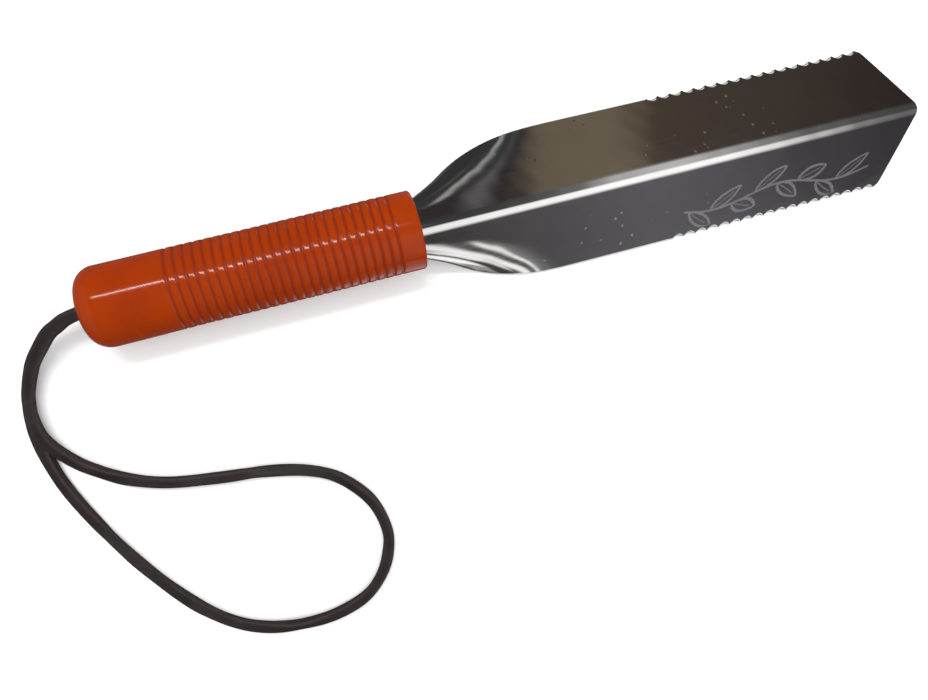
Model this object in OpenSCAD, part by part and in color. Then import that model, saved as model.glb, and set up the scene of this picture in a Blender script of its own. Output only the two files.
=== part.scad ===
// Digging knife of the hori hori kind, with a V-section blade that has a ridge along its top.
// It lies on the two edges of the blade and on the underside of the grip. +X runs from the
// butt to the tip and +Z is up. The origin is under the middle of the grip and the blade,
// on the surface that they lie on. All sizes are in millimetres.

/* [Grip] */
// Outside diameter of the sleeve
grip_d = 32; // [30:0.5:38]
// Length of the sleeve
grip_len = 131; // [128:1:150]
// Radius of the rounded edge at the butt
butt_r = 8; // [4:0.5:9]
// Thickness of the closed end at the butt
butt_wall = 5; // [3:0.5:6]
// Distance from the butt to the middle of the first groove
groove_start = 35; // [32:0.5:40]
// Distance from one groove to the next
groove_pitch = 3.58; // [3.2:0.02:3.7]
// Number of grooves
groove_count = 25; // [10:1:25]
// Depth of each groove
groove_depth = 0.3; // [0.2:0.1:1]
// Radius of the rounded edge at the front
rim_r = 1; // [0.4:0.1:1.5]
// Diameter of the hole that the lanyard comes out of
lanyard_hole_d = 10; // [9:0.5:11]

/* [Blade] */
// Length of the whole tool, butt to tip
overall_len = 353.5; // [340:0.5:370]
// Diameter of the bore in the grip, which the tang is bent to fit
tang_d = 25.4; // [24:0.2:27]
// Width of the sheet round the tang, as a share of the distance round the bore
tang_wrap = 0.69; // [0.6:0.01:0.69]
// Angle that each side of the tang is bent through, in degrees
tang_turn = 180; // [170:1:184]
// How far out each side of the tang keeps straight before it curls: a higher figure is further
curl_power = 2.5; // [2.3:0.1:2.8]
// Thickness of the steel
steel_t = 1.6; // [1.2:0.1:2.2]
// Slope of each side of the V below the horizontal, in degrees
side_slope = 43; // [40:0.5:46]
// Outside radius of the bend along the ridge
ridge_r = 4.5; // [3.5:0.1:6]
// Length over which the tang opens into the V
neck_len = 73; // [60:1:76]
// How quickly the tang opens: a higher figure opens it nearer the grip
neck_power = 3.5; // [3:0.1:5]
// How far the end of each side is swept back from the tip
end_sweep = 3; // [1:0.5:20]
// Radius of the corner at the end of each side
corner_r = 3; // [1:0.5:5]

/* [Serration] */
// Number of scallops along each edge
scallop_count = 18; // [8:1:18]
// Distance from one scallop to the next
scallop_pitch = 5.75; // [5:0.05:6]
// Radius of the wheel that grinds each scallop
scallop_r = 3.5; // [3:0.1:4]
// Angle between the wheel's axis and a line square to the steel
scallop_tilt = 55; // [45:1:60]
// Depth that a scallop takes off the inner face at the edge
scallop_bite = 0.15; // [0.1:0.05:0.4]

/* [Lanyard] */
// Diameter of the leather lace
lace_d = 4.2; // [3.8:0.1:4.2]

/* [Hidden] */
$fn = 96;

grip_r = grip_d / 2;
tang_r = tang_d / 2;
axis_z = grip_r;
ridge_mid_r = ridge_r - steel_t / 2;
ridge_z = axis_z + tang_r;

// The V: its bend is centred under the ridge, and each side runs down to z = 0.
bend_z = ridge_z - ridge_r;
bend_len = ridge_mid_r * side_slope * PI / 180;
side_len = (bend_z + (ridge_r - steel_t) * cos(side_slope)) / sin(side_slope);
edge_y = (ridge_r - steel_t) * sin(side_slope) + side_len * cos(side_slope) + steel_t * sin(side_slope);
edge_z = steel_t * cos(side_slope);

tang_start = butt_wall;
neck_start = grip_len;

// Half of the sheet's width round the tang, and round the V.
tang_half = tang_wrap * PI * tang_r;
v_half = bend_len + side_len;

// The sheet has the same bend along its ridge from end to end. "open" is 0 at the tang, where the
// sides curl in underneath, and 1 where they are the flat sides of the V.
function opening(s) = s <= 0 ? 0 : s >= 1 ? 1 : 1 - pow(1 - s, neck_power);
function half_width(open) = tang_half + (v_half - tang_half) * open;

// Slope of the sheet in degrees below the horizontal, at distance u from the ridge along it.
function turn(u, open) =
    u < bend_len
        ? u / ridge_mid_r * 180 / PI
        : side_slope + (tang_turn - side_slope) * (1 - open)
            * pow((u - bend_len) / (half_width(open) - bend_len), curl_power);

// Middle of the steel's thickness at distance u, across from the ridge and down from it.
side_steps = 40;
each_step = [for (k = [1:side_steps]) 1];
function along_side(u, open) =
    let (du = (u - bend_len) / side_steps,
        turns = [for (k = [0:side_steps - 1]) turn(bend_len + (k + 0.5) * du, open)])
    du * [[for (a = turns) cos(a)] * each_step, [for (a = turns) sin(a)] * each_step];
function in_bend(angle) = ridge_mid_r * [sin(angle), 1 - cos(angle)];
function from_ridge(u, open) =
    u < bend_len ? in_bend(turn(u, open)) : in_bend(side_slope) + along_side(u, open);
function mid_y(u, open) = from_ridge(u, open)[0];
function mid_z(u, open) = ridge_z - steel_t / 2 - from_ridge(u, open)[1];

// Point at distance "off" outside the middle of the steel, in a section.
function sheet_yz(u, open, off) =
    let (a = turn(abs(u), open))
    [sign(u) * (mid_y(abs(u), open) + off * sin(a)), mid_z(abs(u), open) + off * cos(a)];

// The sheet is trimmed level with the surface that the tool lies on.
function lowest_z(u, open) = mid_z(u, open) - abs(cos(turn(u, open))) * steel_t / 2;
function trim_u(open, low, high, steps) =
    steps == 0 ? low
        : let (mid = (low + high) / 2)
            lowest_z(mid, open) > trim_z(open)
                ? trim_u(open, mid, high, steps - 1)
                : trim_u(open, low, mid, steps - 1);
function trim_z(open) = 0.6 * (1 - open);
function sheet_half(open) = trim_u(open, 0, half_width(open), 24);

// The steel is swept through sections: the tang, the neck and the V. The neck's sections are
// closer together near the grip, where it changes fastest.
neck_steps = 30;
half_cuts = 22;
function neck_s(i) = pow(i / neck_steps, 1.35);
section_x = concat([tang_start], [for (i = [0:neck_steps]) neck_start + neck_len * neck_s(i)],
    [overall_len + 1]);
section_open = concat([0], [for (i = [0:neck_steps]) opening(neck_s(i))], [1]);
section_u = [for (j = [-half_cuts:half_cuts]) sign(j) * pow(abs(j) / half_cuts, 1.3)];

// Route of the lace from one end of the knot, round the loop, to the other end, from the butt.
// Near the butt its first strand lies on top of its last one.
lace_z = 2.15;
hole_z = 16;
strand_gap = 2.2;
lace_route = [
    [5, 0, hole_z + strand_gap], [0, 0, hole_z + strand_gap], [-7, -1.1, 17.3], [-11, -2.7, 16.2],
    [-15.1, -4.7, 15], [-20.4, -9.3, 12.6], [-25.9, -15.1, 9.5], [-31.2, -24.8, 6.7],
    [-32.7, -30.2, 6.4], [-33.2, -36.3, 6.3], [-32.6, -43.2, 6], [-30, -50, 4.2],
    [-25.9, -56.4, 2.5], [-20.2, -62, lace_z], [-8.2, -70.3, lace_z], [6.8, -76.4, lace_z],
    [26.4, -80.3, lace_z], [45.5, -83.2, lace_z], [62.2, -87.9, lace_z], [74.6, -95.3, lace_z],
    [84.6, -108.4, lace_z], [88, -123, lace_z], [85.8, -133.9, lace_z], [80, -143.7, lace_z],
    [70.6, -151, lace_z], [55.6, -154.6, lace_z], [39.8, -153.8, lace_z], [26.7, -150.3, lace_z],
    [15.2, -143.8, lace_z], [3.9, -133, lace_z], [-6.9, -118.2, lace_z], [-17.6, -99.8, lace_z],
    [-26.6, -80.2, lace_z], [-31.9, -65.4, lace_z], [-34.6, -52.8, lace_z], [-35.5, -43.5, lace_z],
    [-35.2, -36.6, lace_z], [-34.2, -30.4, 2.25], [-32.6, -25, 2.5], [-27.2, -15.6, 4.5],
    [-21.4, -9.9, 7.3], [-15.9, -5.3, 10], [-11.4, -3.2, 11.7], [-7.1, -1.3, 12.9],
    [0, 0, hole_z - strand_gap], [5, 0, hole_z - strand_gap]
];
lace_sides = 10;

// The whole model is drawn from the butt, then moved so that the origin is under its middle.
module placed() {
    translate([-overall_len / 2, 0, 0]) children();
}

// Turns an outline about the grip's axis. X in the outline runs along the grip, and Y out from its axis.
module about_axis() {
    translate([0, 0, axis_z]) rotate([0, 90, 0]) rotate_extrude() mirror([1, -1]) children();
}

// The bent sheet, before its end and its edges are cut.
module bent_sheet() {
    swept([for (i = [0:len(section_x) - 1]) let (open = section_open[i], half = sheet_half(open)) concat(
        [for (q = section_u)
            let (p = sheet_yz(q * half, open, steel_t / 2)) [section_x[i], p[0], p[1]]],
        [for (j = [len(section_u) - 1:-1:0])
            let (p = sheet_yz(section_u[j] * half, open, -steel_t / 2)) [section_x[i], p[0], p[1]]]
    )]);
}

// Closes a list of rings, each a list of points the same way round, into a solid.
module swept(rings) {
    n = len(rings[0]);
    last = len(rings) - 1;
    sides = [for (i = [0:last - 1], j = [0:n - 1])
        let (a = i * n + j, b = i * n + (j + 1) % n)
        each [[a, b, a + n], [b, b + n, a + n]]];
    half = n / 2;
    start_cap = [for (j = [0:half - 2]) each [[j, n - 1 - j, j + 1], [j + 1, n - 1 - j, n - 2 - j]]];
    end_cap = [for (t = start_cap) [t[0] + last * n, t[2] + last * n, t[1] + last * n]];
    polyhedron(points = [for (r = rings) each r], faces = concat(start_cap, sides, end_cap));
}

// What is cut off the +Y side at the end: it is swept back from the tip, with a rounded corner.
module end_waste() {
    past = 5;
    sweep_angle = atan(end_sweep / edge_y);
    corner_x = overall_len - end_sweep;
    centre = [corner_x - corner_r * tan((90 - sweep_angle) / 2), edge_y - corner_r];
    arc = [for (i = [0:6]) let (a = 90 - (90 - sweep_angle) * i / 6) centre + corner_r * [cos(a), sin(a)]];
    translate([0, 0, -1]) linear_extrude(ridge_z + 2)
        polygon(concat([[centre[0], edge_y + past]], arc,
            [[overall_len, 0], [overall_len + past, 0], [overall_len + past, edge_y + past]]));
}

// One grinding cut at the +Y edge. The wheel leaves a bevel that is widest on the outer face.
module scallop(x) {
    reach = scallop_r / cos(scallop_tilt);
    inner_y = edge_y - steel_t * sin(side_slope);
    translate([x, inner_y, 0]) rotate([-side_slope, 0, 0])
        translate([0, reach - scallop_bite, 0]) rotate([scallop_tilt, 0, 0])
            cylinder(r = scallop_r, h = 14, center = true, $fn = 64);
}

module serration() {
    corner_x = overall_len - end_sweep;
    for (i = [0:scallop_count - 1]) scallop(corner_x - 5.2 - i * scallop_pitch);
}

module blade() {
    color("silver") placed() difference() {
        bent_sheet();
        end_waste();
        mirror([0, 1, 0]) end_waste();
        serration();
        mirror([0, 1, 0]) serration();
    }
}

// Radius of the grip at distance x from the butt, where it is grooved.
function groove_r(x) =
    grip_r - groove_depth * (0.5 + 0.5 * cos(360 * (x - groove_start) / groove_pitch));

module grip_outline() {
    parts = 6;
    first = groove_start - groove_pitch / 2;
    butt_arc = [for (i = [0:8]) let (a = 90 * i / 8)
        [butt_r - butt_r * cos(a), grip_r - butt_r + butt_r * sin(a)]];
    grooves = [for (i = [0:groove_count * parts]) let (x = first + i * groove_pitch / parts) [x, groove_r(x)]];
    rim_arc = [for (i = [0:4]) let (a = 90 - 90 * i / 4)
        [grip_len - rim_r + rim_r * cos(a), grip_r - rim_r + rim_r * sin(a)]];
    polygon(concat([[0, 0]], butt_arc, grooves, rim_arc,
        [[grip_len, tang_r], [butt_wall, tang_r], [butt_wall, 0]]));
}

module grip() {
    color("orangered") placed() difference() {
        about_axis() grip_outline();
        translate([-1, 0, axis_z]) rotate([0, 90, 0]) cylinder(d = lanyard_hole_d, h = butt_wall + 2);
    }
}

// Smooth curve through the route: two rings for each stretch between its points.
function route_at(i) = lace_route[min(max(i, 0), len(lace_route) - 1)];
function curve_at(i, t) =
    let (a = route_at(i - 1), b = route_at(i), c = route_at(i + 1), d = route_at(i + 2))
    0.5 * (2 * b + (c - a) * t + (2 * a - 5 * b + 4 * c - d) * t * t + (3 * b - a - 3 * c + d) * t * t * t);
lace_line = [for (i = [0:len(lace_route) - 2]) each [route_at(i), curve_at(i, 0.5)], route_at(len(lace_route) - 1)];

function unit(v) = v / norm(v);
function lace_heading(i) =
    i == 0 ? [-1, 0, 0]
        : i == len(lace_line) - 1 ? [1, 0, 0]
        : unit(unit(lace_line[i + 1] - lace_line[i]) + unit(lace_line[i] - lace_line[i - 1]));
function lace_ring(i) =
    let (h = lace_heading(i), side = unit(cross(h, [0, 0, 1])), up = cross(side, h))
    [for (k = [0:lace_sides - 1]) let (a = 360 * (k + 0.5) / lace_sides)
        lace_line[i] + lace_d / 2 * (cos(a) * side + sin(a) * up)];

module lanyard() {
    color("saddlebrown") placed() swept([for (i = [0:len(lace_line) - 1]) lace_ring(i)]);
}

// The two ends of the lace are tied inside the tang, in a knot that is wider than the hole.
module lanyard_knot() {
    knot_r = 8.6;
    knot_x = butt_wall + 6;
    tail_len = 18;
    color("sienna") placed() {
        translate([butt_wall, 0, hole_z]) rotate([0, 90, 0]) rotate_extrude() intersection() {
            translate([0, knot_x - butt_wall]) circle(knot_r);
            square([knot_r, knot_r + knot_x]);
        }
        for (y = [-3, 3]) translate([knot_x, y, hole_z]) rotate([0, 90, 0]) cylinder(d = lace_d, h = tail_len);
    }
}

blade();
grip();
lanyard();
lanyard_knot();
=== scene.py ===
"""Looks of a digging knife of the hori hori kind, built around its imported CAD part."""

import math

import bpy
import numpy as np
from mathutils import Matrix, Vector


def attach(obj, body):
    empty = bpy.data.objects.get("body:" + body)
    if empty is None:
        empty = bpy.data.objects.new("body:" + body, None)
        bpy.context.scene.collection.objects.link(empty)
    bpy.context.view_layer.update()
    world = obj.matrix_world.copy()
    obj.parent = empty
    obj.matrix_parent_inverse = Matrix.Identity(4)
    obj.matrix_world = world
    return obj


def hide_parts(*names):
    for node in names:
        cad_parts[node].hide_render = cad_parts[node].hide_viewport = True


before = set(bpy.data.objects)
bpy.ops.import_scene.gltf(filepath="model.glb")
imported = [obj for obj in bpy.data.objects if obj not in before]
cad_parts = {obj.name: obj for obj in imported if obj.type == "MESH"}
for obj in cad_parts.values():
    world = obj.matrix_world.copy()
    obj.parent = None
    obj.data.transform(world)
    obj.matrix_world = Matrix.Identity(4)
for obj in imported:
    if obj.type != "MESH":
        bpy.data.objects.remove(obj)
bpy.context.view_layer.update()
scene = bpy.context.scene

# Shapes are worked out in millimetres from the butt, with x along the tool, then placed in the
# row frame, whose origin is under the middle of the tool.
MM = 0.001
OVERALL_LEN = 353.5
HALF_LEN = OVERALL_LEN / 2
# Height of the grip's axis above the floor
AXIS_Z = 16.0


def to_row(points):
    """Points in millimetres from the butt, as points in the row frame in metres."""
    p = np.array(points, float).reshape(-1, 3)
    p[:, 0] -= HALF_LEN
    return p * MM


def add_mesh(name, points, faces, material, sharp_deg=30.0):
    mesh = bpy.data.meshes.new(name)
    mesh.from_pydata(to_row(points).tolist(), [], faces)
    mesh.validate()
    mesh.shade_smooth()
    mesh.set_sharp_from_angle(angle=math.radians(sharp_deg))
    mesh.materials.append(material)
    obj = bpy.data.objects.new(name, mesh)
    scene.collection.objects.link(obj)
    return obj


def loft(columns):
    """Quads between neighbouring closed loops, each an array of the same number of points. They
    look outward where the loops run counter-clockwise, seen from the first loop."""
    count = len(columns[0])
    faces = []
    for i in range(len(columns) - 1):
        a, b = i * count, (i + 1) * count
        for j in range(count):
            k = (j + 1) % count
            faces.append((b + j, b + k, a + k, a + j))
    return np.concatenate(columns), faces


# ---------------------------------------------------------------- camera

CAMERA_AT = (-0.08714, 0.00363, 0.3289)
CAMERA_LOOKS = (0.15057, -0.17517, -0.97296)
CAMERA_UP = (0.25926, 0.95673, -0.13213)
CAMERA_LENS = 29.906

camera_data = bpy.data.cameras.new("camera")
camera_data.sensor_width = 36.0
camera_data.lens = CAMERA_LENS
camera_data.clip_start = 0.01
camera_data.clip_end = 20.0
camera = bpy.data.objects.new("camera", camera_data)
scene.collection.objects.link(camera)
back = -Vector(CAMERA_LOOKS).normalized()
right = Vector(CAMERA_UP).cross(back).normalized()
top = back.cross(right)
turned = Matrix((right, top, back)).transposed().to_4x4()
turned.translation = Vector(CAMERA_AT)
camera.matrix_world = turned
scene.camera = camera
scene.view_settings.view_transform = "Standard"


# ---------------------------------------------------------------- materials


def new_material(name):
    material = bpy.data.materials.new(name)
    material.use_nodes = True
    tree = material.node_tree
    shader = next(n for n in tree.nodes if n.type == "BSDF_PRINCIPLED")
    return material, tree, shader


def add_node(tree, kind, **settings):
    """A new node. Settings that name a socket fill it or link to it; the others are its options."""
    node = tree.nodes.new(kind)
    for key, value in settings.items():
        if hasattr(node, key):
            setattr(node, key, value)
    for key, value in settings.items():
        if hasattr(node, key):
            continue
        socket = node.inputs[key.replace("_", " ")]
        if isinstance(value, bpy.types.NodeSocket):
            tree.links.new(value, socket)
        else:
            socket.default_value = value
    return node


def object_coords(tree, stretch=(1.0, 1.0, 1.0)):
    coords = tree.nodes.new("ShaderNodeTexCoord")
    mapping = tree.nodes.new("ShaderNodeMapping")
    mapping.inputs["Scale"].default_value = stretch
    tree.links.new(coords.outputs["Object"], mapping.inputs["Vector"])
    return mapping.outputs["Vector"]


def noise(tree, vector, scale, detail=3.0, roughness=0.5):
    node = add_node(
        tree, "ShaderNodeTexNoise", Vector=vector, Scale=scale, Detail=detail, Roughness=roughness,
    )
    return node.outputs["Fac"]


def remap(tree, value, low, high, out_low, out_high):
    node = tree.nodes.new("ShaderNodeMapRange")
    tree.links.new(value, node.inputs["Value"])
    for key, number in zip(("From Min", "From Max", "To Min", "To Max"), (low, high, out_low, out_high)):
        node.inputs[key].default_value = number
    return node.outputs["Result"]


def rising(tree, value, low, high):
    """0 up to low, 1 from high on, and a straight slope between them."""
    return remap(tree, value, low, high, 0.0, 1.0)


def falling(tree, value, low, high):
    """1 up to low, 0 from high on, and a straight slope between them."""
    return remap(tree, value, low, high, 1.0, 0.0)


def maths(tree, operation, a, b=0.0):
    node = tree.nodes.new("ShaderNodeMath")
    node.operation = operation
    for socket, value in zip(node.inputs, (a, b)):
        if isinstance(value, bpy.types.NodeSocket):
            tree.links.new(value, socket)
        else:
            socket.default_value = value
    return node.outputs["Value"]


def mix_colour(tree, share, a, b):
    """Colour a where share is 0, and colour b where it is 1."""
    node = tree.nodes.new("ShaderNodeMix")
    node.data_type = "RGBA"
    inputs = [s for s in node.inputs if s.enabled]
    for name, value in (("Factor", share), ("A", a), ("B", b)):
        socket = next(s for s in inputs if s.name == name and (s.type == "RGBA") == (name != "Factor"))
        if isinstance(value, bpy.types.NodeSocket):
            tree.links.new(value, socket)
        else:
            socket.default_value = value
    return next(s for s in node.outputs if s.type == "RGBA")


def bump(tree, shader, height, strength, distance):
    node = add_node(tree, "ShaderNodeBump", Height=height, Strength=strength, Distance=distance)
    tree.links.new(node.outputs["Normal"], shader.inputs["Normal"])


# A sprig of leaves, etched as thin lines on the -Y side of the blade. Distances along the blade
# are from the butt, and distances across it are from the ridge, along the steel.
SPRIG_FROM, SPRIG_TO = 247.0, 340.0
SPRIG_INNER, SPRIG_OUTER = 8.0, 38.5
STEM_U = 26.0
STEM_SWAY = 3.2
STEM_WAVE = 62.0
FIRST_LEAF = SPRIG_FROM + 3
LEAF_PITCH = 21.0
LEAF_COUNT = 4
LEAF_LEN = 15.5
LEAF_WIDTH = 3.1
LEAF_FULLNESS = 0.8
LEAF_ANGLE = math.radians(36)
LINE_WIDTH = 0.75
LINE_SOFT = 0.28


def line_mask(tree, distance, half_width):
    """1 on a line and 0 beside it."""
    away = maths(tree, "ABSOLUTE", distance)
    return falling(tree, away, half_width - LINE_SOFT, half_width + LINE_SOFT)


def leaf_mask(tree, x, rise, start):
    """Outlines and midribs of leaves on one side of the stem, one every LEAF_PITCH."""
    leaves_on = maths(tree, "DIVIDE", maths(tree, "SUBTRACT", x, start), LEAF_PITCH)
    local = maths(tree, "MULTIPLY", maths(tree, "FRACT", leaves_on), LEAF_PITCH)
    cosine, sine = math.cos(LEAF_ANGLE), math.sin(LEAF_ANGLE)
    # s runs from 0 to 1 along a leaf, and w is the distance from its midrib.
    s = maths(tree, "ADD", maths(tree, "MULTIPLY", local, cosine), maths(tree, "MULTIPLY", rise, sine))
    s = maths(tree, "DIVIDE", s, LEAF_LEN)
    w = maths(tree, "SUBTRACT", maths(tree, "MULTIPLY", rise, cosine), maths(tree, "MULTIPLY", local, sine))
    w = maths(tree, "ABSOLUTE", w)
    belly = maths(tree, "SINE", maths(tree, "MULTIPLY", rising(tree, s, 0, 1), math.pi))
    belly = maths(tree, "MULTIPLY", maths(tree, "POWER", belly, LEAF_FULLNESS), LEAF_WIDTH)
    outline = line_mask(tree, maths(tree, "SUBTRACT", w, belly), LINE_WIDTH)
    rib = maths(tree, "MULTIPLY", line_mask(tree, w, LINE_WIDTH * 0.5), remap(tree, s, 0.78, 0.84, 0.8, 0.0))
    within = maths(tree, "MULTIPLY", rising(tree, s, -0.02, 0.03), falling(tree, s, 1.0, 1.04))
    last = start + LEAF_COUNT * LEAF_PITCH
    row = maths(tree, "MULTIPLY", rising(tree, x, start - 1, start), falling(tree, x, last - 1, last))
    lines = maths(tree, "MAXIMUM", outline, rib)
    return maths(tree, "MULTIPLY", lines, maths(tree, "MULTIPLY", within, row))


def sprig_mask(tree):
    """How strongly the steel is etched, from 0 to 1."""
    x = add_node(tree, "ShaderNodeAttribute", attribute_name="along").outputs["Fac"]
    across = add_node(tree, "ShaderNodeAttribute", attribute_name="across").outputs["Fac"]
    v = maths(tree, "MULTIPLY", across, -1.0)
    phase = maths(tree, "MULTIPLY", maths(tree, "SUBTRACT", x, SPRIG_FROM), 2 * math.pi / STEM_WAVE)
    sway = maths(tree, "MULTIPLY", maths(tree, "SINE", phase), STEM_SWAY)
    rise = maths(tree, "SUBTRACT", maths(tree, "SUBTRACT", v, STEM_U), sway)
    down = maths(tree, "MULTIPLY", rise, -1.0)
    on = line_mask(tree, rise, LINE_WIDTH * 0.9)
    on = maths(tree, "MAXIMUM", on, leaf_mask(tree, x, rise, FIRST_LEAF))
    on = maths(tree, "MAXIMUM", on, leaf_mask(tree, x, down, FIRST_LEAF + LEAF_PITCH / 2))
    ends = maths(tree, "MULTIPLY", rising(tree, x, SPRIG_FROM, SPRIG_FROM + 1),
                 falling(tree, x, SPRIG_TO - 1, SPRIG_TO))
    band = maths(tree, "MULTIPLY", rising(tree, v, SPRIG_INNER, SPRIG_INNER + 1),
                 falling(tree, v, SPRIG_OUTER - 0.5, SPRIG_OUTER))
    return maths(tree, "MULTIPLY", on, maths(tree, "MULTIPLY", ends, band))


STEEL_CLEAR = (0.62, 0.61, 0.6, 1)
STEEL_CLOUDED = (0.57, 0.56, 0.56, 1)
STEEL_ETCHED = (0.50, 0.49, 0.53, 1)


def steel_material():
    """Polished steel: long fine wipe marks, small specks, and a frosted etch where the mesh says so."""
    material, tree, shader = new_material("polished_steel")
    shader.inputs["Metallic"].default_value = 1.0
    wipes = noise(tree, object_coords(tree, (60.0, 900.0, 900.0)), 1.0, 4.0, 0.6)
    cloud = noise(tree, object_coords(tree), 38.0, 3.0, 0.5)
    specks = add_node(tree, "ShaderNodeTexVoronoi", Vector=object_coords(tree), Scale=190.0)
    speck = falling(tree, specks.outputs["Distance"], 0.06, 0.16)
    chosen = rising(tree, noise(tree, object_coords(tree), 31.0, 1.0), 0.58, 0.62)
    speck = maths(tree, "MULTIPLY", speck, chosen)
    etch = sprig_mask(tree)
    rough = remap(tree, wipes, 0.3, 0.7, 0.035, 0.085)
    rough = maths(tree, "ADD", rough, remap(tree, cloud, 0.45, 0.75, 0.0, 0.04))
    rough = maths(tree, "ADD", rough, maths(tree, "MULTIPLY", speck, 0.12))
    rough = maths(tree, "ADD", rough, maths(tree, "MULTIPLY", etch, 0.30))
    tree.links.new(rough, shader.inputs["Roughness"])
    clean = mix_colour(tree, rising(tree, cloud, 0.3, 0.7), STEEL_CLEAR, STEEL_CLOUDED)
    tree.links.new(mix_colour(tree, etch, clean, STEEL_ETCHED), shader.inputs["Base Color"])
    height = maths(tree, "ADD", maths(tree, "MULTIPLY", wipes, 0.05), maths(tree, "MULTIPLY", speck, 1.0))
    bump(tree, shader, height, 0.6, 0.00012)
    return material


VINYL_BRIGHT = (0.245, 0.0255, 0.0014, 1)
VINYL_DEEP = (0.208, 0.0200, 0.0014, 1)
# Painted shade: the vinyl's colour at the bottom of a groove, where the groove attribute is 1
VINYL_GROOVE_SHADE = (0.150, 0.0125, 0.0010, 1)


def vinyl_material():
    """Dip-moulded orange vinyl: glossy, softly uneven, and with painted shade darkening its grooves."""
    material, tree, shader = new_material("orange_vinyl")
    cloud = noise(tree, object_coords(tree), 55.0, 4.0, 0.6)
    fine = noise(tree, object_coords(tree), 700.0, 3.0, 0.6)
    colour = mix_colour(tree, rising(tree, cloud, 0.35, 0.7), VINYL_BRIGHT, VINYL_DEEP)
    # The groove attribute mixes in the painted shade, and also roughens the vinyl in the grooves.
    groove = add_node(tree, "ShaderNodeAttribute", attribute_name="groove").outputs["Fac"]
    tree.links.new(mix_colour(tree, groove, colour, VINYL_GROOVE_SHADE), shader.inputs["Base Color"])
    rough = maths(tree, "ADD", remap(tree, cloud, 0.3, 0.7, 0.07, 0.12),
                  remap(tree, fine, 0.3, 0.7, 0.0, 0.04))
    rough = maths(tree, "ADD", rough, maths(tree, "MULTIPLY", groove, 0.2))
    tree.links.new(rough, shader.inputs["Roughness"])
    shader.inputs["IOR"].default_value = 1.5
    shader.inputs["Specular IOR Level"].default_value = 0.13
    height = maths(tree, "ADD", maths(tree, "MULTIPLY", cloud, 1.0), maths(tree, "MULTIPLY", fine, 0.12))
    bump(tree, shader, height, 0.12, 0.00015)
    return material


LEATHER_DARK = (0.006, 0.004, 0.0042, 1)
LEATHER_WARM = (0.013, 0.008, 0.0078, 1)
LEATHER_WORN = (0.032, 0.021, 0.018, 1)


def leather_material():
    """Dark brown lace: lengthwise fibres, fine pores, and edges worn a little paler."""
    material, tree, shader = new_material("dark_leather")
    grain = add_node(tree, "ShaderNodeTexVoronoi", Vector=object_coords(tree), Scale=1500.0)
    cloud = noise(tree, object_coords(tree), 120.0, 4.0, 0.6)
    fibre = noise(tree, object_coords(tree), 900.0, 4.0, 0.7)
    worn = add_node(tree, "ShaderNodeAttribute", attribute_name="worn").outputs["Fac"]
    worn = maths(tree, "MULTIPLY", worn, remap(tree, fibre, 0.35, 0.65, 0.3, 1.0))
    dark = mix_colour(tree, rising(tree, cloud, 0.35, 0.65), LEATHER_DARK, LEATHER_WARM)
    tree.links.new(mix_colour(tree, worn, dark, LEATHER_WORN), shader.inputs["Base Color"])
    shader.inputs["Specular IOR Level"].default_value = 0.3
    tree.links.new(remap(tree, fibre, 0.3, 0.7, 0.45, 0.65), shader.inputs["Roughness"])
    height = maths(tree, "ADD", grain.outputs["Distance"], maths(tree, "MULTIPLY", fibre, 1.2))
    bump(tree, shader, height, 0.5, 0.00012)
    return material


steel = steel_material()
vinyl = vinyl_material()
leather = leather_material()


# ---------------------------------------------------------------- lanyard

# Points that the lace follows, from the knot round the loop and back to the knot.
LACE_ROUTE = [
    (5, 0, 18.2), (0, 0, 18.2), (-7, -1.1, 17.3), (-11, -2.7, 16.2), (-15.1, -4.7, 15),
    (-20.4, -9.3, 12.6), (-25.9, -15.1, 9.5), (-31.2, -24.8, 6.7), (-32.7, -30.2, 6.4),
    (-33.2, -36.3, 6.3), (-32.6, -43.2, 6), (-30, -50, 4.2), (-25.9, -56.4, 2.5),
    (-20.2, -62, 2.15), (-8.2, -70.3, 2.15), (6.8, -76.4, 2.15), (26.4, -80.3, 2.15),
    (45.5, -83.2, 2.15), (62.2, -87.9, 2.15), (74.6, -95.3, 2.15), (84.6, -108.4, 2.15),
    (88, -123, 2.15), (85.8, -133.9, 2.15), (80, -143.7, 2.15), (70.6, -151, 2.15),
    (55.6, -154.6, 2.15), (39.8, -153.8, 2.15), (26.7, -150.3, 2.15), (15.2, -143.8, 2.15),
    (3.9, -133, 2.15), (-6.9, -118.2, 2.15), (-17.6, -99.8, 2.15), (-26.6, -80.2, 2.15),
    (-31.9, -65.4, 2.15), (-34.6, -52.8, 2.15), (-35.5, -43.5, 2.15), (-35.2, -36.6, 2.15),
    (-34.2, -30.4, 2.25), (-32.6, -25, 2.5), (-27.2, -15.6, 4.5), (-21.4, -9.9, 7.3),
    (-15.9, -5.3, 10), (-11.4, -3.2, 11.7), (-7.1, -1.3, 12.9), (0, 0, 13.8), (5, 0, 13.8),
]
LACE_HALF_WIDTH = 2.4
LACE_HALF_HEIGHT = 1.85
# 2 would make the section an ellipse, and a higher power squares it off.
LACE_SQUARENESS = 4.2
LACE_SIDES = 28
PARTS_PER_STRETCH = 9
# The lace stays this far above the floor, and is flat there.
LACE_CLEARANCE = 0.08


def smooth_route(route, parts):
    """Catmull-Rom curve through the points, with so many parts for each stretch."""
    p = np.array(route, float)
    p = np.vstack([p[0], p, p[-1]])
    t = (np.arange(parts) / parts)[:, None]
    stretches = []
    for a, b, c, d in zip(p[:-3], p[1:-2], p[2:-1], p[3:]):
        curve = 2 * b + (c - a) * t + (2 * a - 5 * b + 4 * c - d) * t**2 + (3 * b - a - 3 * c + d) * t**3
        stretches.append(curve / 2)
    return np.vstack(stretches + [p[-1:]])


def distance_along(line):
    return np.concatenate([[0.0], np.cumsum(np.linalg.norm(np.diff(line, axis=0), axis=1))])


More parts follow.
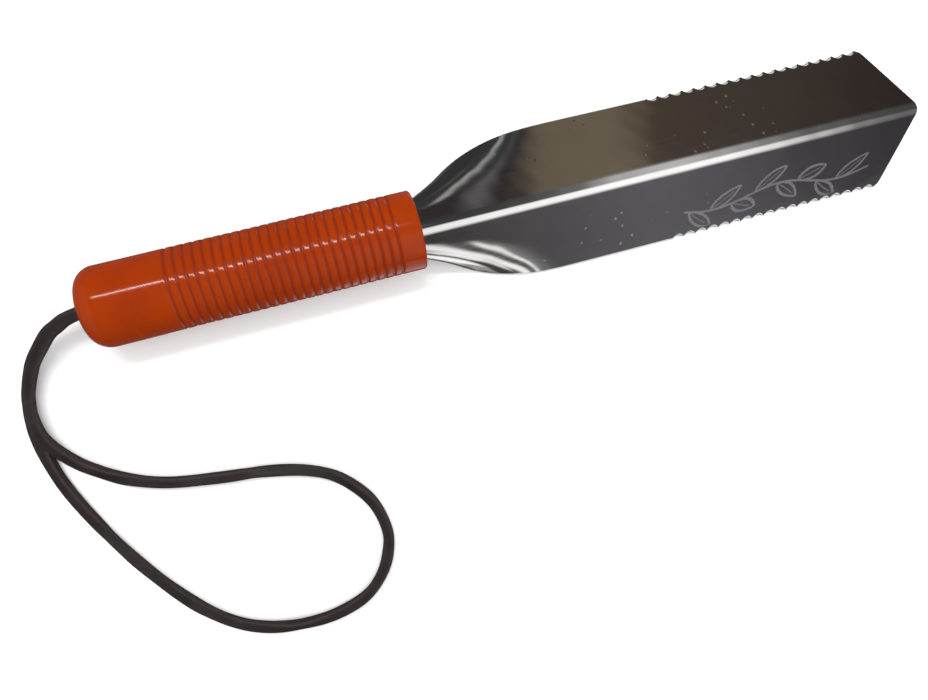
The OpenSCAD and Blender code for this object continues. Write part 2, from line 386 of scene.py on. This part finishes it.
def tube_frames(line):
    """Heading, sideways and upward directions at each point of a line."""
    heading = np.gradient(line, axis=0)
    heading /= np.linalg.norm(heading, axis=1)[:, None]
    side = np.cross(heading, [0.0, 0.0, 1.0])
    side /= np.linalg.norm(side, axis=1)[:, None]
    return heading, side, np.cross(side, heading)


def end_caps(count, sides):
    """The two faces that close a tube of so many points."""
    return [tuple(range(sides)), tuple(reversed(range(count - sides, count)))]


def build_lace():
    """A flat-sided lace with rounded corners, slowly twisting, and flat where it lies on the floor."""
    line = smooth_route(LACE_ROUTE, PARTS_PER_STRETCH)
    s = distance_along(line)
    heading, side, up = tube_frames(line)
    free = np.clip((np.minimum(s, s[-1] - s) - 20) / 60, 0.25, 1)
    twist = free * np.radians(16 * np.sin(s / 21 + 0.4) + 13 * np.sin(s / 9.3 + 2.0) + 7 * np.sin(s / 4.1))
    width = LACE_HALF_WIDTH * (1 + 0.03 * free * np.sin(s / 5.2) + 0.025 * np.sin(s / 13 + 1))
    height = LACE_HALF_HEIGHT * (1 + 0.03 * np.sin(s / 6.7 + 2))
    angle = 2 * math.pi * np.arange(LACE_SIDES) / LACE_SIDES
    power = LACE_SQUARENESS
    rings, worn = [], []
    for i, centre in enumerate(line):
        reach = np.abs(np.cos(angle) / width[i]) ** power + np.abs(np.sin(angle) / height[i]) ** power
        reach = reach ** (-1 / power)
        across, rise = reach * np.cos(angle), reach * np.sin(angle)
        c, d = math.cos(twist[i]), math.sin(twist[i])
        ring = centre + np.outer(across * c - rise * d, side[i]) + np.outer(across * d + rise * c, up[i])
        ring[:, 2] = np.maximum(ring[:, 2], LACE_CLEARANCE)
        rings.append(ring)
        worn.append((reach / reach.max()) ** 6)
    points, faces = loft(rings)
    faces += end_caps(len(points), LACE_SIDES)
    lace = add_mesh("lanyard_lace", points, faces, leather, 40)
    attribute = lace.data.attributes.new("worn", "FLOAT", "POINT")
    attribute.data.foreach_set("value", np.concatenate(worn).astype(np.float32))
    return lace, line, s[-1]


KNOT_X = 12.2
KNOT_DEPTH = 1.55
KNOT_SIZE = 2.45
KNOT_STEPS = 96
STRAND_SIDES = 14
STRAND_HALF_WIDTH = 2.0
STRAND_HALF_HEIGHT = 1.85


def build_knot():
    """The overhand knot that holds the two ends inside the tang. Its strands start at the lace's
    ends and come out as tails, and its two wide lobes lie low, where the tang is widest."""
    t = 2 * math.pi * np.arange(KNOT_STEPS) / KNOT_STEPS
    loop = np.stack([
        KNOT_X - KNOT_DEPTH * np.sin(3 * t),
        KNOT_SIZE * (np.sin(t) + 2 * np.sin(2 * t)),
        AXIS_Z - KNOT_SIZE * (np.cos(t) - 2 * np.cos(2 * t)),
    ], axis=1)
    strands = []
    for end, y, z in ((LACE_ROUTE[0], -3.0, 1.6), (LACE_ROUTE[-1], 3.0, -1.6)):
        strands.append(smooth_route([
            end, (8, 0.6 * y, AXIS_Z + 1.2 * z), (12, 1.3 * y, AXIS_Z + z),
            (19, 1.5 * y, AXIS_Z - z), (27, y, AXIS_Z - 1.6 * z),
        ], 6))
    angle = 2 * math.pi * np.arange(STRAND_SIDES) / STRAND_SIDES
    across = STRAND_HALF_WIDTH * np.cos(angle)
    rise = STRAND_HALF_HEIGHT * np.sin(angle)
    points, faces, start = [], [], 0
    for line, closed in [(loop, True)] + [(strand, False) for strand in strands]:
        if closed:
            heading = np.roll(line, -1, axis=0) - np.roll(line, 1, axis=0)
        else:
            heading = np.gradient(line, axis=0)
        heading /= np.linalg.norm(heading, axis=1)[:, None]
        side = np.cross(heading, [1.0, 0.1, 0.2])
        side /= np.linalg.norm(side, axis=1)[:, None]
        up = np.cross(side, heading)
        rings = [c + np.outer(across, a) + np.outer(rise, b) for c, a, b in zip(line, side, up)]
        if closed:
            rings.append(rings[0])
        ring_points, ring_faces = loft(rings)
        if closed:
            count = len(ring_points) - STRAND_SIDES
            ring_faces = [tuple(k % count for k in face) for face in ring_faces]
            ring_points = ring_points[:count]
        else:
            ring_faces += end_caps(len(ring_points), STRAND_SIDES)
        faces += [tuple(k + start for k in face) for face in ring_faces]
        points.append(ring_points)
        start += len(ring_points)
    return add_mesh("lanyard_overhand_knot", np.concatenate(points), faces, leather, 40)


lace, lace_line, lace_length = build_lace()
knot = build_knot()


# ---------------------------------------------------------------- grip

GRIP_R = 16.0
GRIP_LEN = 131.0
TANG_R = 12.7
BUTT_R = 8.0
BUTT_WALL = 5.0
HOLE_R = 5.0
GROOVE_START = 35.0
GROOVE_PITCH = 3.58
GROOVE_COUNT = 25
GROOVE_DEPTH = 0.24
# A high power makes a groove narrow, with wide plain bands beside it.
GROOVE_SHARPNESS = 4.5
GROOVE_POINTS = 14
HOLE_RIM_R = 0.7
MOUTH_R = 1.0
LIP_R = 0.4
LIP_FROM_AXIS = 13.4
BORE_R = TANG_R + 0.02
GRIP_SEGMENTS = 200


def arc(centre, radius, first_deg, last_deg, count):
    a = np.radians(np.linspace(first_deg, last_deg, count))
    return np.stack([centre[0] + radius * np.cos(a), centre[1] + radius * np.sin(a)], axis=1)


def grip_profile():
    """Closed outline of the sleeve as (distance from the butt, distance from its axis)."""
    first = GROOVE_START - GROOVE_PITCH / 2
    last = first + GROOVE_COUNT * GROOVE_PITCH
    x = np.linspace(first, last, GROOVE_COUNT * GROOVE_POINTS + 1)
    dip = (0.5 + 0.5 * np.cos(2 * math.pi * (x - GROOVE_START) / GROOVE_PITCH)) ** GROOVE_SHARPNESS
    grooves = np.stack([x, GRIP_R - GROOVE_DEPTH * dip], axis=1)
    plain = np.stack([np.linspace(BUTT_R + 1.5, first - 0.8, 12), np.full(12, GRIP_R)], axis=1)
    front = np.stack([np.linspace(last + 0.8, GRIP_LEN - 1.6, 6), np.full(6, GRIP_R)], axis=1)
    bore = np.stack([np.linspace(GRIP_LEN - MOUTH_R, BUTT_WALL, 8), np.full(8, BORE_R)], axis=1)
    return np.vstack([
        arc((HOLE_RIM_R, HOLE_R + HOLE_RIM_R), HOLE_RIM_R, 270, 180, 6),
        [(0.0, 6.6), (0.0, 7.3)],
        arc((BUTT_R, GRIP_R - BUTT_R), BUTT_R, 180, 90, 28),
        plain,
        grooves,
        front,
        arc((GRIP_LEN - MOUTH_R, GRIP_R - MOUTH_R), MOUTH_R, 90, 0, 8),
        [(GRIP_LEN, 14.2), (GRIP_LEN, 13.5)],
        arc((GRIP_LEN - LIP_R, LIP_FROM_AXIS), LIP_R, 0, -60, 4),
        bore,
        [(BUTT_WALL, 9.0), (BUTT_WALL, HOLE_R + 0.4), (BUTT_WALL - 0.4, HOLE_R), (2.6, HOLE_R)],
    ])


def build_grip():
    """The sleeve turned about its axis, with the slight unevenness of dipped vinyl."""
    profile = grip_profile()
    x, r = profile[:, 0], profile[:, 1]
    # 0 in the bore and 1 on the outside, which alone is uneven
    outside = np.clip((r - 13.6) / 1.4, 0, 1)
    rings = []
    for k in range(GRIP_SEGMENTS):
        a = 2 * math.pi * k / GRIP_SEGMENTS
        uneven = (0.05 * np.sin(2 * a + x / 23) + 0.03 * np.sin(3 * a - x / 11 + 1)
                  + 0.02 * np.sin(x / 6.5 + 5 * a))
        reach = r + outside * (uneven - 0.04)
        rings.append(np.stack([x, reach * math.sin(a), AXIS_Z + reach * math.cos(a)], axis=1))
    rings.append(rings[0])
    points, faces = loft(rings)
    count = GRIP_SEGMENTS * len(x)
    # The outline runs the other way round than loft() expects, so its faces are turned.
    faces = [tuple(reversed([k % count for k in face])) for face in faces]
    sleeve = add_mesh("grip_sleeve", points[:count], faces, vinyl, 45)
    grooved = (x > GROOVE_START - GROOVE_PITCH) & (x < GROOVE_START + GROOVE_COUNT * GROOVE_PITCH)
    grooved &= r > 14
    # Painted shade: 0 on the crests, rising to 1 at the bottom of each groove, where it darkens the vinyl's
    # colour.
    groove_shade = np.where(grooved, np.clip((GRIP_R - r) / GROOVE_DEPTH, 0, 1) ** 0.7, 0)
    attribute = sleeve.data.attributes.new("groove", "FLOAT", "POINT")
    attribute.data.foreach_set("value", np.tile(groove_shade, GRIP_SEGMENTS).astype(np.float32))
    return sleeve


grip = build_grip()


# ---------------------------------------------------------------- blade

STEEL_T = 1.6
SLOPE = math.radians(43)
RIDGE_R = 4.5
RIDGE_MID_R = RIDGE_R - STEEL_T / 2
RIDGE_Z = AXIS_Z + TANG_R
NECK_LEN = 73.0
NECK_POWER = 3.5
BEND_LEN = RIDGE_MID_R * SLOPE
BEND_Z = RIDGE_Z - RIDGE_R
SIDE_LEN = (BEND_Z + (RIDGE_R - STEEL_T) * math.cos(SLOPE)) / math.sin(SLOPE)
TANG_HALF = 0.69 * math.pi * TANG_R
TANG_TURN = math.pi
CURL_POWER = 2.5
V_HALF = BEND_LEN + SIDE_LEN
EDGE_Y = (RIDGE_R - STEEL_T) * math.sin(SLOPE) + SIDE_LEN * math.cos(SLOPE) + STEEL_T * math.sin(SLOPE)
END_SWEEP = 3.0
CORNER_R = 3.0
SCALLOP_PITCH = 5.75
SCALLOP_COUNT = 18
SCALLOP_R = 3.5
SCALLOP_TILT = math.radians(55)
SCALLOP_REACH = SCALLOP_R / math.cos(SCALLOP_TILT)
SCALLOP_OFFSET = SCALLOP_REACH - STEEL_T * math.tan(SCALLOP_TILT) - 0.15
SCALLOP_FROM_END = 5.2
LAST_SCALLOP = OVERALL_LEN - END_SWEEP - SCALLOP_FROM_END
# Width of the strip along the edge where the rows of points follow the scallops
BAND = 3.6
SHEET_STEPS = 600


def opening(x):
    s = np.clip((x - GRIP_LEN) / NECK_LEN, 0, 1)
    return 1 - (1 - s) ** NECK_POWER


def half_width(opened):
    return TANG_HALF + (V_HALF - TANG_HALF) * opened


def sheet_turn(u, opened):
    """Slope of the steel at distance u from the ridge along it, in radians below the horizontal."""
    share = np.clip((u - BEND_LEN) / (half_width(opened) - BEND_LEN), 0, 1)
    side = SLOPE + (TANG_TURN - SLOPE) * (1 - opened) * share**CURL_POWER
    return np.where(u < BEND_LEN, u / RIDGE_MID_R, side)


def sheet_point(u, opened, depth):
    """Across and up at distance u from the ridge along the steel, and at a depth in it."""
    a = np.abs(u)
    grid = np.linspace(BEND_LEN, half_width(opened), SHEET_STEPS + 1)
    turns = sheet_turn((grid[1:] + grid[:-1]) / 2, opened)
    step = grid[1] - grid[0]
    run = np.concatenate([[0], np.cumsum(np.cos(turns))]) * step
    fall = np.concatenate([[0], np.cumsum(np.sin(turns))]) * step
    side_y = RIDGE_MID_R * math.sin(SLOPE) + run
    side_drop = RIDGE_MID_R * (1 - math.cos(SLOPE)) + fall
    turn = sheet_turn(a, opened)
    in_bend = a < BEND_LEN
    y = np.where(in_bend, RIDGE_MID_R * np.sin(turn), np.interp(a, grid, side_y))
    drop = np.where(in_bend, RIDGE_MID_R * (1 - np.cos(turn)), np.interp(a, grid, side_drop))
    off = STEEL_T / 2 - depth
    return np.sign(u) * (y + off * np.sin(turn)), RIDGE_Z - STEEL_T / 2 - drop + off * np.cos(turn)


def sheet_half(opened):
    """Half of the sheet's width where it is trimmed level with the floor."""
    low, high = 0.0, half_width(opened)
    for _ in range(30):
        u = np.array((low + high) / 2)
        level = sheet_point(u, opened, STEEL_T / 2)[1] - np.abs(np.cos(sheet_turn(u, opened))) * STEEL_T / 2
        low, high = (float(u), high) if level > 0.6 * (1 - opened) else (low, float(u))
    return low


def scallop_reach(x):
    """How far the ground bevel reaches in from the edge, on the outer face, at x."""
    nearest = np.clip(np.round((LAST_SCALLOP - x) / SCALLOP_PITCH), 0, SCALLOP_COUNT - 1)
    dx = x - (LAST_SCALLOP - nearest * SCALLOP_PITCH)
    inside = np.clip(1 - (dx / SCALLOP_R) ** 2, 0, 1)
    return np.maximum(SCALLOP_REACH * np.sqrt(inside) - SCALLOP_OFFSET, 0.06)


def end_x(y):
    """Where the blade ends at y: swept back from the tip, with a rounded corner."""
    a = math.atan(END_SWEEP / EDGE_Y)
    centre_x = OVERALL_LEN - END_SWEEP - CORNER_R * math.tan((math.pi / 2 - a) / 2)
    past = np.clip(y - (EDGE_Y - CORNER_R), 0, CORNER_R)
    straight = OVERALL_LEN - END_SWEEP * y / EDGE_Y
    rounded = centre_x + np.sqrt(CORNER_R**2 - past**2)
    return np.where(past > CORNER_R * math.sin(a), rounded, straight)


# Rows of points across the steel: over the bend, the flat, the band and the edge's bevel on the
# outer face, round the edge, and back over the inner face.
BEND_ROWS, FLAT_ROWS, BEVEL_ROWS = 9, 60, 5
BAND_SHARES = np.array([0.3, 0.55, 0.75, 0.9, 1.0])
OUTER_ROWS = BEND_ROWS + FLAT_ROWS + len(BAND_SHARES) + BEVEL_ROWS
EDGE_ARC = np.radians([0, 30, 60, 90])
INNER_FLAT = np.linspace(1, 0, 27)[1:]
INNER_BEND = np.linspace(1, 0, 7)[1:]
PLAIN_EDGE_R = 0.8
PLAIN_EDGE_ARC = np.radians(15 * np.arange(1, BEVEL_ROWS + 1))
GROUND_EDGE_R = 0.07
# Steel left at the edge under a scallop
GROUND_EDGE_LEFT = 0.1


def section_rows(half, reach, ground):
    """Distance along the steel and depth in it, for each point from the top of the ridge, over the
    outer face, round the edge and back to the ridge on the inner face. ground is true where the
    scallops are, and elsewhere the edge is rounded."""
    sections = len(reach)
    bend_u = BEND_LEN * np.linspace(0, 1, BEND_ROWS)
    flat_u = BEND_LEN + (half - BAND - BEND_LEN) * np.linspace(0, 1, FLAT_ROWS + 1)[1:]
    edge_e = np.where(ground, reach, PLAIN_EDGE_R)[:, None]
    band_u = half - (BAND + (edge_e - BAND) * BAND_SHARES)
    outer_u = np.hstack([np.tile(np.hstack([bend_u, flat_u]), (sections, 1)), band_u])
    # The bevel of a scallop steepens from its rim, where k is 1, to the edge, where k is 0.
    k = np.linspace(0.8, 0, BEVEL_ROWS)
    share = 0.45 * (1 - k) + 0.55 * (1 - k) ** 3
    ground_d = np.minimum(reach[:, None] * share / math.tan(SCALLOP_TILT), STEEL_T - GROUND_EDGE_LEFT)
    is_ground = ground[:, None]
    bevel_e = np.where(is_ground, reach[:, None] * k, PLAIN_EDGE_R * (1 - np.sin(PLAIN_EDGE_ARC)))
    bevel_d = np.where(is_ground, ground_d, PLAIN_EDGE_R * (1 - np.cos(PLAIN_EDGE_ARC)))
    r = np.where(ground, GROUND_EDGE_R, PLAIN_EDGE_R)[:, None]
    arc_e = r * (1 - np.cos(EDGE_ARC))
    arc_d = STEEL_T - r * (1 - np.sin(EDGE_ARC))
    inner_flat_u = BEND_LEN + (half - r - BEND_LEN) * INNER_FLAT
    inner_u = np.hstack([inner_flat_u, np.tile(BEND_LEN * INNER_BEND, (sections, 1))])
    u = np.hstack([outer_u, half - bevel_e, half - arc_e, inner_u])
    depth = np.hstack([np.zeros_like(outer_u), bevel_d, arc_d, np.full_like(inner_u, STEEL_T)])
    return u, depth


def ripple(x, u):
    """The slight waviness of hand-finished sheet, in millimetres."""
    fade = np.clip((x - 135) / 25, 0, 1)
    waves = (0.016 * np.sin(2 * math.pi * (x / 47 + u / 71) + 1.1)
             + 0.010 * np.sin(2 * math.pi * (x / 23 - u / 37) + 2.7)
             + 0.004 * np.sin(2 * math.pi * (x / 11 + u / 19) + 0.5))
    return fade * waves


# Sections of the tang, from its end inside the butt to the mouth of the grip
TANG_STATIONS = [5, 30, 60, 90, 115, 125, 129, GRIP_LEN]
NECK_STEPS, PLAIN_STEPS, SCALLOP_STEPS, END_STEPS = 80, 39, 16, 13
# Above 1, this crowds the neck's sections towards the grip, where it opens fastest.
NECK_CROWDING = 1.35
END_CHAMFER = 0.22
END_CHAMFER_LEN = 0.3
END_PASSES = 4
# A distance across the steel that is outside the sprig
PAST_SPRIG = 60.0


def blade_stations():
    """Where the sections are along the blade, and whether the scallops are ground there."""
    first = LAST_SCALLOP - (SCALLOP_COUNT - 0.5) * SCALLOP_PITCH
    neck = GRIP_LEN + NECK_LEN * (np.arange(1, NECK_STEPS + 1) / NECK_STEPS) ** NECK_CROWDING
    plain = np.linspace(GRIP_LEN + NECK_LEN, first - 0.05, PLAIN_STEPS + 1)[1:]
    teeth = np.linspace(first, LAST_SCALLOP + SCALLOP_PITCH / 2, SCALLOP_COUNT * SCALLOP_STEPS + 1)
    end = np.linspace(teeth[-1], OVERALL_LEN, END_STEPS + 1)[1:-1]
    last = [OVERALL_LEN - END_CHAMFER_LEN, OVERALL_LEN]
    x = np.concatenate([TANG_STATIONS, neck, plain, teeth, end, last])
    return x, x >= first


def section(x, ground, half, opened, chamfer):
    """One side of a section, as points from the ridge's top round to its underside. Past the last
    scallop the points move apart along the blade, to reach its swept and rounded end."""
    u, depth = section_rows(half, scallop_reach(np.full(1, x)), np.array([ground]))
    place = np.full(u.shape[1], float(x))
    if x > LAST_SCALLOP:
        share = (x - LAST_SCALLOP) / (OVERALL_LEN - LAST_SCALLOP)
        for _ in range(END_PASSES):
            y = sheet_point(u[0], opened, depth[0])[0]
            place = LAST_SCALLOP + share * (end_x(y) - LAST_SCALLOP)
            u, depth = section_rows(half, scallop_reach(place), np.full(len(place), ground))
            u, depth = np.diag(u)[None, :], np.diag(depth)[None, :]
    return place, u[0], np.clip(depth[0], chamfer, STEEL_T - chamfer)


def build_blade():
    x_list, ground = blade_stations()
    columns, along_x, across_u = [], [], []
    for x, is_ground in zip(x_list, ground):
        opened = float(opening(x))
        half = sheet_half(opened)
        chamfer = END_CHAMFER if x == OVERALL_LEN else 0.0
        place, u, depth = section(x, is_ground, half, opened, chamfer)
        sides = []
        for sign in (1, -1):
            lift = ripple(place, sign * u)
            y, z = sheet_point(u, opened, depth - lift)
            sides.append(np.stack([place, sign * y, z], axis=1))
        loop = np.vstack([sides[0], sides[1][-2:0:-1]])
        loop[:, 2] = np.maximum(loop[:, 2], 0.0)
        columns.append(loop)
        across = np.where(depth < 0.01, u, PAST_SPRIG)
        along_x.append(loop[:, 0])
        across_u.append(np.concatenate([across, -across[-2:0:-1]]))
    points, faces = loft(columns)
    faces += end_faces(columns[0], 0, OUTER_ROWS, False)
    faces += end_faces(columns[-1], len(points) - len(columns[-1]), OUTER_ROWS, True)
    blade = add_mesh("blade_steel", points, faces, steel, 24)
    for name, values in (("along", along_x), ("across", across_u)):
        attribute = blade.data.attributes.new(name, "FLOAT", "POINT")
        attribute.data.foreach_set("value", np.concatenate(values).astype(np.float32))
    return blade


def end_faces(loop, base, rows, flip):
    """Triangles that close one end of the sheet, between its outer and inner faces."""
    count = len(loop)
    side = count // 2 + 1
    outer = list(range(count - rows + 1, count)) + list(range(rows))
    inner = list(range(count - rows, side - 2, -1))
    inner += list(range(side - 2, rows - 1, -1))

    def along(indices):
        line = loop[indices]
        s = distance_along(line)
        return s / s[-1]

    a, b = along(outer), along(inner)
    i = j = 0
    faces = []
    while i < len(outer) - 1 or j < len(inner) - 1:
        if j == len(inner) - 1 or (i < len(outer) - 1 and a[i + 1] <= b[j + 1]):
            face = (outer[i], outer[i + 1], inner[j])
            i += 1
        else:
            face = (outer[i], inner[j + 1], inner[j])
            j += 1
        faces.append(tuple(base + k for k in (reversed(face) if flip else face)))
    return faces


blade = build_blade()


# ---------------------------------------------------------------- pieces hung on the root, and the CAD parts they replace hidden

for piece, node_name, slot_name in (
    (lace, "lanyard", "leather"),
    (knot, "lanyard_knot", "leather"),
    (grip, "grip", "grip_vinyl"),
    (blade, "blade", "steel"),
):
    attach(piece, "root")
    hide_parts(node_name)

to_row(lace_line).tolist()


# ---------------------------------------------------------------- floor and light


FLOOR_HALF = 3.0
FLOOR_BELOW = 0.0002


def build_floor():
    material, tree, shader = new_material("pale_floor")
    shader.inputs["Base Color"].default_value = (0.83, 0.83, 0.83, 1)
    shader.inputs["Roughness"].default_value = 0.9
    shader.inputs["Specular IOR Level"].default_value = 0.0
    mesh = bpy.data.meshes.new("floor")
    corners = [(FLOOR_HALF * x, FLOOR_HALF * y, 0) for x, y in ((-1, -1), (1, -1), (1, 1), (-1, 1))]
    mesh.from_pydata(corners, [], [(0, 1, 2, 3)])
    mesh.materials.append(material)
    floor = bpy.data.objects.new("floor", mesh)
    floor.location.z = -FLOOR_BELOW
    floor.visible_glossy = False
    scene.collection.objects.link(floor)


def ramp(tree, value, stops):
    """Colours at values from -1 to 1. A stop's colour may be a single grey."""
    node = tree.nodes.new("ShaderNodeValToRGB")
    tree.links.new(remap(tree, value, -1, 1, 0, 1), node.inputs["Fac"])
    elements = node.color_ramp.elements
    while len(elements) < len(stops):
        elements.new(0.5)
    for element, (place, colour) in zip(elements, stops):
        element.position = (place + 1) / 2
        element.color = (*colour, 1) if isinstance(colour, tuple) else (colour, colour, colour, 1)
    return node.outputs["Color"]


# What polished surfaces see in the studio: long soft boxes overhead towards the tip, a dim ceiling
# above the grip, darker walls, and a pale floor. The numbers are the direction's X, then its colour.
CEILING_MINUS_Y = [
    (-0.90, 0.25), (-0.74, 0.85), (-0.58, 0.30), (-0.42, 0.09), (-0.06, 0.09), (0.08, 1.3),
    (0.36, 1.65), (0.50, 1.6), (0.57, 0.98), (0.62, 0.28), (0.72, 0.10), (0.90, 0.70),
]
CEILING_PLUS_Y = [
    (-0.90, 0.25), (-0.70, 0.75), (-0.50, 0.20), (-0.36, 0.05), (0.05, 0.05), (0.24, 0.07),
    (0.31, 0.15), (0.345, 0.25), (0.386, 0.66), (0.446, 0.78), (0.509, 0.48), (0.57, 0.19),
    (0.62, 0.11), (0.70, 0.06), (0.86, 0.80),
]
WALL_MINUS_Y = [
    (-0.80, 0.50), (-0.45, 0.10), (0.14, (0.06, 0.055, 0.055)), (0.26, (0.11, 0.105, 0.11)),
    (0.42, (0.165, 0.158, 0.175)), (0.50, (0.135, 0.128, 0.142)), (0.57, (0.085, 0.08, 0.09)),
    (0.66, (0.055, 0.05, 0.058)), (0.74, 0.07), (0.92, 0.55),
]
WALL_PLUS_Y = [
    (-0.80, 0.45), (-0.45, 0.10), (0.10, (0.05, 0.045, 0.045)), (0.185, (0.04, 0.035, 0.04)),
    (0.212, (0.17, 0.16, 0.165)), (0.245, (0.03, 0.022, 0.028)), (0.265, (0.08, 0.065, 0.055)),
    (0.29, (0.20, 0.165, 0.115)), (0.395, (0.21, 0.17, 0.12)), (0.43, (0.09, 0.068, 0.05)),
    (0.55, (0.07, 0.055, 0.045)), (0.66, (0.04, 0.028, 0.025)), (0.74, 0.05), (0.92, 0.50),
]
LOW_MINUS_Y = [
    (-0.40, 0.08), (0.03, 0.06), (0.085, 0.10), (0.105, 1.4), (0.13, 1.5), (0.15, 0.12),
    (0.175, 0.13), (0.187, 1.5), (0.193, 1.5), (0.203, 0.30), (0.235, 0.24), (0.27, 0.14),
    (0.34, 0.16), (0.60, 0.20),
]
LOW_PLUS_Y = [
    (-0.30, 0.12), (-0.05, 0.05), (0.136, 0.055), (0.146, 0.50), (0.160, 0.42), (0.175, 0.07),
    (0.20, 0.05), (0.34, 0.10), (0.60, 0.12),
]
NEAR_MINUS_Y = [
    (-0.40, 0.10), (0.0, 0.06), (0.06, 0.08), (0.075, 1.4), (0.12, 1.4), (0.20, 0.20),
    (0.32, 1.2), (0.70, 0.90),
]
FLOOR_MINUS_Y = [
    (-0.40, 0.15), (-0.03, 0.10), (-0.015, 0.55), (-0.003, 0.50), (0.006, 0.08), (0.014, 1.5),
    (0.50, 1.3), (0.70, 0.90),
]
FLOOR_PLUS_Y = [(-0.40, 0.20), (-0.05, 0.05), (0.08, 0.05), (0.16, 0.35), (0.26, 1.2), (0.70, 0.90)]
UNDER_SEEN = (0.10, 0.10, 0.10, 1)
# All rays but glossy ones see this.
GLOW = (0.86, 0.86, 0.86, 1)

# Where one part of the studio passes into the next: the first five by the direction's Z, and the
# two after them by its Y. The shaded part of the floor goes by X and Z.
UNDER_TO_FLOOR = (-0.88, -0.76)
FLOOR_TO_NEAR = (-0.56, -0.48)
NEAR_TO_LOW = (-0.32, -0.25)
LOW_TO_WALL = (-0.06, -0.02)
WALL_TO_CEILING = (0.06, 0.55)
SIDES_MEET = (-0.10, 0.10)
CEILING_SIDES_MEET = (-0.24, 0.04)
SHADE_X, SHADE_Z = (0.15, 0.25), (-0.72, -0.60)


def build_world():
    """The studio. Polished surfaces see its boxes and walls, and everything else an even glow."""
    world = bpy.data.worlds.new("studio")
    world.use_nodes = True
    scene.world = world
    tree = world.node_tree
    background = next(n for n in tree.nodes if n.type == "BACKGROUND")
    coords = tree.nodes.new("ShaderNodeTexCoord")
    split = add_node(tree, "ShaderNodeSeparateXYZ", Vector=coords.outputs["Generated"])
    x, y, z = (split.outputs[axis] for axis in "XYZ")
    side = rising(tree, y, *SIDES_MEET)
    ceiling = mix_colour(tree, rising(tree, y, *CEILING_SIDES_MEET), ramp(tree, x, CEILING_MINUS_Y),
                         ramp(tree, x, CEILING_PLUS_Y))
    wall = mix_colour(tree, side, ramp(tree, x, WALL_MINUS_Y), ramp(tree, x, WALL_PLUS_Y))
    low = mix_colour(tree, side, ramp(tree, x, LOW_MINUS_Y), ramp(tree, x, LOW_PLUS_Y))
    deep = mix_colour(tree, rising(tree, z, *FLOOR_TO_NEAR), ramp(tree, x, FLOOR_MINUS_Y),
                      ramp(tree, x, NEAR_MINUS_Y))
    deep = mix_colour(tree, side, deep, ramp(tree, x, FLOOR_PLUS_Y))
    deep = mix_colour(tree, rising(tree, z, *UNDER_TO_FLOOR), UNDER_SEEN, deep)
    shade = maths(tree, "MULTIPLY", rising(tree, x, *SHADE_X), falling(tree, z, *SHADE_Z))
    deep = mix_colour(tree, shade, deep, UNDER_SEEN)
    seen = mix_colour(tree, rising(tree, z, *NEAR_TO_LOW), deep, low)
    seen = mix_colour(tree, rising(tree, z, *LOW_TO_WALL), seen, wall)
    seen = mix_colour(tree, rising(tree, z, *WALL_TO_CEILING), seen, ceiling)
    path = tree.nodes.new("ShaderNodeLightPath")
    colour = mix_colour(tree, path.outputs["Is Glossy Ray"], GLOW, seen)
    tree.links.new(colour, background.inputs["Color"])
    background.inputs["Strength"].default_value = 1.0


def add_area_light(name, place, aim, size, radiance, roll=0.0, in_reflections=True):
    """A rectangle of light, aimed at a point, or pointing straight down and turned by roll."""
    data = bpy.data.lights.new(name, "AREA")
    data.shape = "RECTANGLE"
    data.size, data.size_y = size
    data.energy = radiance * math.pi * size[0] * size[1]
    light = bpy.data.objects.new(name, data)
    light.location = place
    direction = Vector(aim) - Vector(place)
    light.rotation_mode = "QUATERNION"
    light.rotation_quaternion = direction.to_track_quat("-Z", "Y")
    if roll:
        light.rotation_quaternion = Matrix.Rotation(roll, 3, "Z").to_quaternion()
    light.visible_camera = False
    light.visible_glossy = in_reflections
    scene.collection.objects.link(light)


# The strip hangs beside the grip, well above it, and makes the long highlight on it.
STRIP_X, STRIP_Y, STRIP_Z = -0.185, 0.2905, 0.6
STRIP_SIZE = (0.37, 0.034)
STRIP_RADIANCE = 70.0
STRIP_ROLL = math.radians(-16.7)
FILL_AT = (0.0, 0.1, 1.4)
FILL_SIZE = (1.9, 1.9)
FILL_RADIANCE = 1.15

build_floor()
build_world()
add_area_light("strip_light", (STRIP_X, STRIP_Y, STRIP_Z), (STRIP_X, STRIP_Y, 0), STRIP_SIZE,
               STRIP_RADIANCE, roll=STRIP_ROLL)
add_area_light("soft_fill", FILL_AT, (0, 0, 0), FILL_SIZE, FILL_RADIANCE, in_reflections=False)
